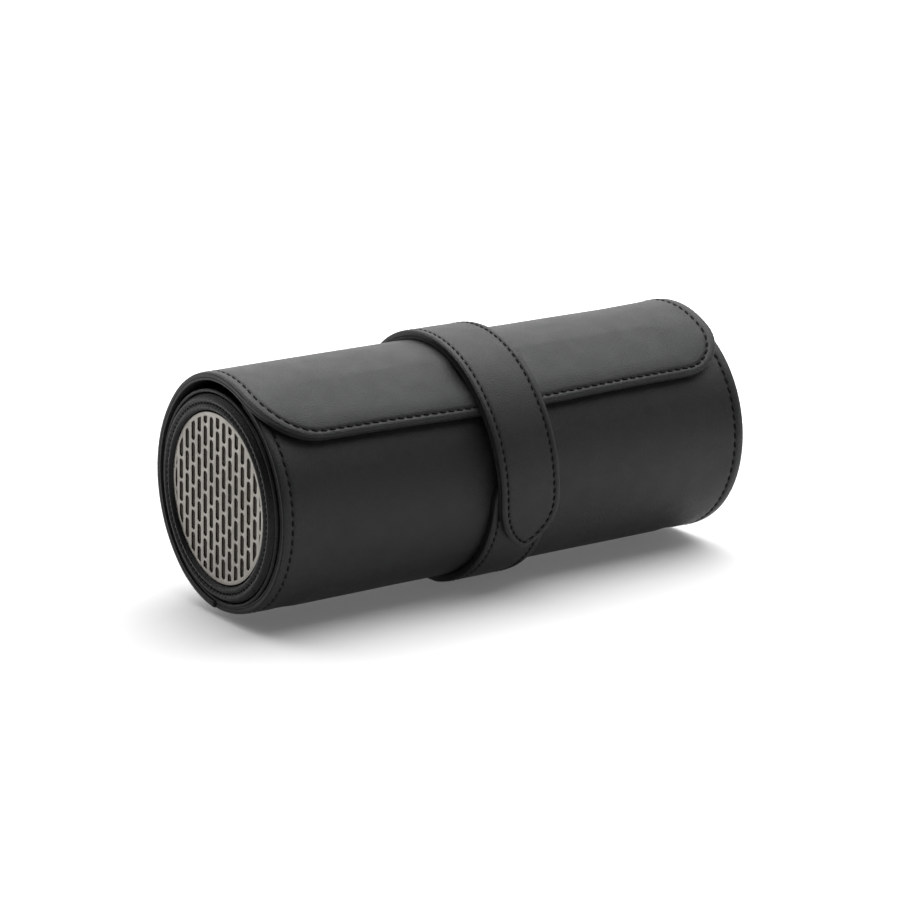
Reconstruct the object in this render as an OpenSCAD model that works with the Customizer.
// Watch travel case: a stiff drum with three watch cushions, wrapped in one
// spiral sheet of black leather and closed by a pointed strap.
// X runs along the roll, the front faces -Y, and the strap's flat is at z = 0.
// Angles run from the front (0) over the top (90) and down the back (180).

/* [Drum] */
// Length of the roll from end to end
case_len = 210; // [190:1:260]
// Outer radius of the drum
drum_r = 40.5; // [38:0.5:48]
// Thickness of the drum's bent board
board_t = 1.5; // [1:0.1:2.5]
// Thickness of the suede lining
suede_t = 1; // [0.6:0.1:1.6]
// Half angle of the drum's mouth, from straight up
mouth_half = 50; // [46:1:56]
// Length of the bound rim at each end
rim_len = 8; // [7:0.5:14]

/* [Wrap] */
// Thickness of the outer leather
leather_t = 1.8; // [1.2:0.1:2.4]
// Thickness of the wrap's lining
lining_t = 1; // [0.6:0.1:1.6]
// How far the wrap's back and top stand forward of the drum's axis
wrap_forward = 1; // [0.6:0.1:2]
// How far the wrap's back and top stand above the drum's axis
wrap_rise = 1.5; // [1.2:0.1:2.5]
// Angle of the flap's front edge
flap_edge = 37; // [30:1:48]
// Angle of the flap's fold at the back
flap_fold = 150; // [145:1:152]
// Angle of the inner leaf's fold at the front
leaf_fold = 14; // [12:1:18]
// Angle of the inner leaf's free edge, under the flap
leaf_edge = 88; // [80:1:92]
// Corner radius of the flap and of the leaf
corner_r = 20; // [8:1:24]

/* [Strap] */
// Width of the strap
strap_w = 27.5; // [22:0.5:40]
// Thickness of the strap, face and lining together
strap_t = 2.8; // [2.4:0.1:3.6]
// Place of the strap's middle along the roll
strap_x = -2; // [-10:0.5:10]
// Angle where the strap starts at the back
strap_start = 142; // [120:1:143]
// Angle where the free end bends up from the flap
tip_fold = 62; // [55:1:70]
// Angle of the strap's point
tip_end = -33; // [-34:1:-26]
// Length of the pointed part
tip_len = 22; // [16:1:26]
// How far the free end stands off from the lower strap
tip_lift = 1.2; // [1:0.1:2]
// Thickness of the free end's lining
tip_lining_t = 0.7; // [0.5:0.1:1]
// Angle of the lower strap's upper end
catch_end = 8; // [4:1:9]
// Angle of the lower strap's rear end
catch_start = -115; // [-120:1:-105]
// Depth to which the lower strap is pressed flat underneath
rest_flat = 0.8; // [0.5:0.1:1.2]
// Angle of the two closing magnets
magnet_a = -12; // [-16:1:-8]
// Diameter of each magnet
magnet_d = 11; // [8:0.5:14]
// Thickness of each magnet
magnet_t = 1.2; // [1:0.1:1.6]

/* [Ends] */
// Radius of the slotted metal plate
plate_r = 32; // [26:0.2:33.4]
// Thickness of the metal plate
plate_t = 0.6; // [0.4:0.1:1.5]
// Depth of the plate's face below the end of the roll
plate_depth = 0.2; // [0.1:0.1:1.5]
// Width of one slot
slot_w = 2.6; // [1.6:0.1:3]
// Length of one slot
slot_len = 7.7; // [5:0.1:7.9]
// Distance from one column of slots to the next
slot_column = 4.36; // [4:0.02:6]
// Distance from one slot to the next in its column
slot_row = 8.65; // [8.4:0.05:11]
// Lean of the columns
slot_lean = 2.4; // [0:0.1:10]
// Plain rim round the slots
slot_rim = 1.5; // [1:0.1:6]
// Thickness of the padded leather ring round the plate
ring_t = 4.7; // [4.2:0.1:5.5]
// How far the ring stands proud of the end of the roll
ring_rise = 0.8; // [0.4:0.1:1.2]
// Width of the sewn groove between the ring's rolls
ring_groove_w = 1; // [0.6:0.1:1.4]
// Depth of that groove
ring_groove_d = 0.9; // [0.5:0.1:1.1]
// Thickness of the end board
end_board_t = 3; // [2:0.1:4]

/* [Cushions] */
// Thickness of each divider
divider_t = 5; // [3:0.5:8]
// Height of the dividers above the drum's axis
divider_top = 28; // [22:1:32]
// Room left at each end of a cushion
cushion_room = 4.5; // [3:0.5:8]
// Room left at each side of a cushion in the drum's mouth
mouth_room = 2.1; // [1.5:0.1:5]
// Thickness of a cushion's cover
cover_t = 1.5; // [1:0.1:2.5]
// Rounding of a cushion's ends
cushion_round = 9; // [5:0.5:12]

/* [Fits] */
// Gap at the drum, under the wrap
wrap_gap = 0.3; // [0.2:0.1:0.5]
// Gap along each fold
fold_gap = 0.3; // [0.2:0.1:0.5]
// Gap round parts that drop into place
fit_gap = 0.2; // [0.1:0.05:0.4]

/* [Hidden] */
$fn = 128;
board_in = drum_r - board_t;
lining_in = board_in - suede_t;
wrap_t = leather_t + lining_t;
leaf_in = drum_r + wrap_gap;
leaf_out = leaf_in + wrap_t;
wrap_c = [-wrap_forward, wrap_rise];
wrap_out = leaf_out + norm(wrap_c);
wrap_in = wrap_out - wrap_t;
// the two arcs of the spiral meet where one line runs through both centres
meet_a = 180 + atan2(wrap_rise, wrap_forward);
low_out = leaf_out + strap_t;
axis_z = low_out - rest_flat;
up_out = wrap_out + strap_t;
// the free end's arc starts in line with the strap's and is a little wider
tip_c = wrap_c - tip_lift * radial(tip_fold);
tip_in = wrap_out + tip_lift + fold_gap;
tip_out = up_out + tip_lift;
tip_skin = tip_in + tip_lining_t;
ring_in = plate_r + fit_gap;
ring_out = board_in - fit_gap;
rim_start = 0.5;
inner_start = rim_start + rim_len;
ring_roll_w = (ring_out - ring_in - ring_groove_w) / 2;
board_start = ring_t - ring_rise;
suede_start = board_start + end_board_t;
inner_len = case_len - 2 * inner_start;
bay_len = (inner_len - 2 * divider_t) / 3;
bay_pitch = bay_len + divider_t;
cushion_r = lining_in * sin(mouth_half) - mouth_room;
cushion_len = bay_len - 2 * cushion_room;
cushion_z = axis_z - lining_in + cushion_r + wrap_gap;
far = 2 * drum_r;

// unit vector in Y and Z at an angle
function radial(a) = [-cos(a), sin(a)];
// angle that spans a length on a radius
function span(length, r) = length / r * 180 / PI;

// section of a sheet with rolled edges, from radius r_in to r_out
module rolled_strip(r_in, r_out, length) {
    edge_r = (r_out - r_in) / 2;
    translate([r_in, edge_r - length / 2]) square([2 * edge_r, length - 2 * edge_r]);
    for (side = [-1, 1])
        translate([r_in + edge_r, side * (length / 2 - edge_r)]) circle(edge_r);
}

// turns a section round the roll, from angle a0 up to a1, about the centre c
module turn(a0, a1, c = [0, 0])
    translate([0, c[0], axis_z + c[1]])
        rotate([0, 90, 0]) rotate([0, 0, -90 - a1])
            rotate_extrude(angle = a1 - a0) children();

module sheet(r_in, r_out, length, a0, a1, c = [0, 0])
    turn(a0, a1, c) rolled_strip(r_in, r_out, length);

// stands its children on the roll at angle a, with their Z pointing outward
module stand_at(a, c = [0, 0])
    translate([0, c[0], axis_z + c[1]]) rotate([90 - a, 0, 0]) children();

// what is cut off one corner of a sheet: x and y are the corner's own place
module corner_waste(x, y, r) {
    spare = 3;
    translate([x - r, y + r]) difference() {
        translate([0, -r - spare]) square([r + spare, r + spare]);
        circle(r);
    }
}

// cuts both corners of a sheet at the edge angle; up is 1 where the edge faces down
module round_corners(r_out, edge_a, up, c = [0, 0]) {
    half = span(corner_r, r_out) / 2;
    reach = r_out * sin(half);
    difference() {
        children();
        stand_at(edge_a + up * half, c)
            linear_extrude(far) for (side = [0, 1])
                mirror([side, 0]) mirror([0, (1 - up) / 2])
                    corner_waste(case_len / 2, -reach, corner_r);
    }
}

// what is cut off a strap to leave a pointed arch, with the point at y = 0
module arch_waste() {
    half_w = strap_w / 2;
    arch_r = (half_w * half_w + tip_len * tip_len) / strap_w;
    spare = 2;
    difference() {
        translate([-half_w - spare, -spare]) square([strap_w + 2 * spare, tip_len + spare]);
        intersection_for (side = [-1, 1])
            translate([side * (arch_r - half_w), tip_len]) circle(arch_r);
    }
}

module point_strap(r_out, c = [0, 0]) {
    half = span(tip_len, r_out) / 2;
    difference() {
        children();
        translate([strap_x, 0, 0]) stand_at(tip_end + half, c)
            translate([0, -r_out * sin(half), 0]) linear_extrude(far) arch_waste();
    }
}

// a disc or ring's section turned about X; depth is measured in from one end
module end_turn(side)
    mirror([side > 0 ? 1 : 0, 0, 0])
        translate([-case_len / 2, 0, axis_z]) rotate([0, 90, 0])
            rotate_extrude() children();

module end_disc(side, r, depth, t)
    end_turn(side) translate([0, depth]) square([r, t]);

module trough_board()
    color([0.16, 0.14, 0.13])
        turn(90 + mouth_half, 450 - mouth_half)
            translate([board_in, -inner_len / 2]) square([board_t, inner_len]);

module trough_lining()
    color([0.36, 0.34, 0.32])
        turn(90 + mouth_half, 450 - mouth_half)
            translate([lining_in, -inner_len / 2]) square([suede_t, inner_len]);

// the bound end of the drum, with a rounded outer lip
module end_rim(side)
    color([0.13, 0.13, 0.14])
        end_turn(side) {
            lip_r = board_t / 2;
            translate([board_in, rim_start + lip_r]) square([board_t, rim_len - lip_r]);
            translate([board_in + lip_r, rim_start + lip_r]) circle(lip_r);
        }

module end_board(side)
    color([0.45, 0.36, 0.25])
        end_disc(side, ring_out, board_start, end_board_t);

module end_suede(side)
    color([0.36, 0.34, 0.32])
        end_disc(side, ring_out, suede_start, inner_start - suede_start);

// the padded ring: two rolls with the sewn groove between them
module end_ring(side)
    color([0.12, 0.12, 0.13])
        end_turn(side) {
            roll_r = ring_roll_w / 2;
            translate([ring_in, ring_groove_d - ring_rise])
                square([ring_out - ring_in, ring_t - ring_groove_d]);
            intersection() {
                translate([ring_in, -ring_rise]) square([ring_out - ring_in, ring_t]);
                for (x = [ring_in + roll_r, ring_out - roll_r])
                    translate([x, roll_r - ring_rise]) circle(roll_r);
            }
        }

module slot() {
    run = (slot_len - slot_w) / 2;
    translate([-slot_w / 2, -run]) square([slot_w, 2 * run]);
    for (side = [-1, 1]) translate([0, side * run]) circle(slot_w / 2);
}

// staggered slots: each second column is shifted by half a row
module slot_field() {
    columns = floor(plate_r / slot_column);
    rows = floor(plate_r / slot_row) + 1;
    intersection() {
        circle(plate_r - slot_rim);
        rotate(slot_lean) for (i = [-columns : columns]) for (j = [-rows : rows])
            translate([i * slot_column, (j + (i % 2 == 0 ? 0.5 : 0)) * slot_row]) slot();
    }
}

module end_plate(side)
    color([0.65, 0.63, 0.6])
        mirror([side > 0 ? 1 : 0, 0, 0])
            translate([plate_depth - case_len / 2, 0, axis_z])
                rotate([90, 0, 90]) linear_extrude(plate_t) difference() {
                    circle(plate_r);
                    slot_field();
                }

module plate_backing(side)
    color([0.2, 0.19, 0.17])
        end_disc(side, plate_r, plate_depth + plate_t,
                 board_start - plate_depth - plate_t);

// a round wall between two watches, cut level below the drum's mouth
module divider(side)
    color([0.4, 0.38, 0.36])
        translate([side * bay_pitch / 2, 0, axis_z]) rotate([0, 90, 0])
            linear_extrude(divider_t, center = true) intersection() {
                circle(lining_in - fit_gap);
                translate([-divider_top, -far]) square([2 * far, 2 * far]);
            }

// the spiral's front and bottom, on the drum's own centre
module front_sheet(r_in, r_out)
    sheet(r_in, r_out, case_len, meet_a - 360, leaf_fold - span(fold_gap, leaf_out) / 2);

// the spiral's back, on the wrap's centre, where the sheet begins to stand off
module back_sheet(r_in, r_out)
    sheet(r_in, r_out, case_len, flap_fold + span(fold_gap, wrap_out) / 2, meet_a, wrap_c);

module wrap_leather()
    color([0.1, 0.1, 0.11]) front_sheet(leaf_out - leather_t, leaf_out);

module wrap_lining()
    color([0.24, 0.22, 0.21]) front_sheet(leaf_in, leaf_in + lining_t);

module back_leather()
    color([0.1, 0.1, 0.11]) back_sheet(wrap_out - leather_t, wrap_out);

module back_lining()
    color([0.24, 0.22, 0.21]) back_sheet(wrap_in, wrap_in + lining_t);

module flap_sheet(r_in, r_out)
    round_corners(wrap_out, flap_edge, 1, wrap_c)
        sheet(r_in, r_out, case_len, flap_edge,
              flap_fold - span(fold_gap, wrap_out) / 2, wrap_c);

module flap_leather()
    color([0.11, 0.11, 0.12]) flap_sheet(wrap_out - leather_t, wrap_out);

module flap_lining()
    color([0.24, 0.22, 0.21]) flap_sheet(wrap_in, wrap_in + lining_t);

module leaf_sheet(r_in, r_out)
    round_corners(leaf_out, leaf_edge, -1)
        sheet(r_in, r_out, case_len, leaf_fold + span(fold_gap, leaf_out) / 2, leaf_edge);

module front_leaf()
    color([0.1, 0.1, 0.11]) leaf_sheet(leaf_out - leather_t, leaf_out);

module front_leaf_lining()
    color([0.24, 0.22, 0.21]) leaf_sheet(leaf_in, leaf_in + lining_t);

module strap_sheet(r_in, r_out, a0, a1, c = [0, 0])
    translate([strap_x, 0, 0]) sheet(r_in, r_out, strap_w, a0, a1, c);

module upper_strap()
    color([0.12, 0.12, 0.13])
        strap_sheet(wrap_out, up_out, tip_fold + span(fold_gap, up_out) / 2,
                    strap_start, wrap_c);

// a round pocket or a disc on the strap's middle, between two heights
module strap_disc(d, low, high, c = [0, 0])
    translate([strap_x, 0, 0]) stand_at(magnet_a, c)
        translate([0, 0, low]) cylinder(h = high - low, d = d);

module tip_part(r_in, r_out)
    point_strap(tip_out, tip_c) difference() {
        strap_sheet(r_in, r_out, tip_end, tip_fold - span(fold_gap, up_out) / 2, tip_c);
        strap_disc(magnet_d + 2 * fit_gap, tip_in - 1, tip_in + magnet_t + fit_gap, tip_c);
    }

module strap_tip()
    color([0.12, 0.12, 0.13]) tip_part(tip_skin, tip_out);

module strap_tip_lining()
    color([0.24, 0.22, 0.21]) tip_part(tip_in, tip_skin);

module tip_magnet()
    color([0.7, 0.7, 0.72]) strap_disc(magnet_d, tip_in, tip_in + magnet_t, tip_c);

// the lower strap: its upper end is round, and it is pressed flat underneath
module lower_strap()
    color([0.12, 0.12, 0.13]) difference() {
        strap_sheet(leaf_out, low_out, catch_start, catch_end);
        strap_disc(magnet_d + 2 * fit_gap, low_out - magnet_t - fit_gap, low_out + 1);
        translate([-far, -far, -far]) cube([2 * far, 2 * far, far]);
        translate([strap_x, 0, 0])
            stand_at(catch_end - span(strap_w / 2, low_out) / 2)
                linear_extrude(far) for (side = [0, 1]) mirror([side, 0])
                    mirror([0, 1]) corner_waste(strap_w / 2,
                        -low_out * sin(span(strap_w / 2, low_out) / 2), strap_w / 2);
    }

module lower_magnet()
    color([0.7, 0.7, 0.72]) strap_disc(magnet_d, low_out - magnet_t, low_out);

// a soft round cushion, lying along the roll, inset all round by the given depth
module cushion_solid(inset)
    rotate([0, 90, 0]) rotate_extrude() {
        half = cushion_len / 2 - inset;
        r = cushion_r - inset;
        round_r = cushion_round - inset;
        translate([0, -half]) square([r - round_r, 2 * half]);
        translate([0, round_r - half]) square([r, 2 * (half - round_r)]);
        for (side = [-1, 1])
            translate([r - round_r, side * (half - round_r)]) intersection() {
                circle(round_r);
                translate([0, side > 0 ? 0 : -round_r]) square(round_r);
            }
    }

module cushion(place)
    color([0.5, 0.47, 0.43])
        translate([place * bay_pitch, 0, cushion_z]) difference() {
            cushion_solid(0);
            cushion_solid(cover_t);
        }

module cushion_core(place)
    color([0.85, 0.82, 0.7])
        translate([place * bay_pitch, 0, cushion_z]) cushion_solid(cover_t);

trough_board();
trough_lining();
end_rim(-1);  // end_rim_left
end_rim(1);  // end_rim_right
end_board(-1);  // end_board_left
end_board(1);  // end_board_right
end_ring(-1);  // end_ring_left
end_ring(1);  // end_ring_right
end_plate(-1);  // end_plate_left
end_plate(1);  // end_plate_right
plate_backing(-1);  // plate_backing_left
plate_backing(1);  // plate_backing_right
end_suede(-1);  // end_suede_left
end_suede(1);  // end_suede_right
divider(-1);  // divider_left
divider(1);  // divider_right
wrap_leather();
wrap_lining();
back_leather();
back_lining();
lower_strap();
lower_magnet();
flap_leather();
flap_lining();
upper_strap();
strap_tip();
strap_tip_lining();
tip_magnet();
front_leaf();
front_leaf_lining();
cushion(-1);  // cushion_left
cushion(0);  // cushion_middle
cushion(1);  // cushion_right
cushion_core(-1);  // cushion_core_left
cushion_core(0);  // cushion_core_middle
cushion_core(1);  // cushion_core_right
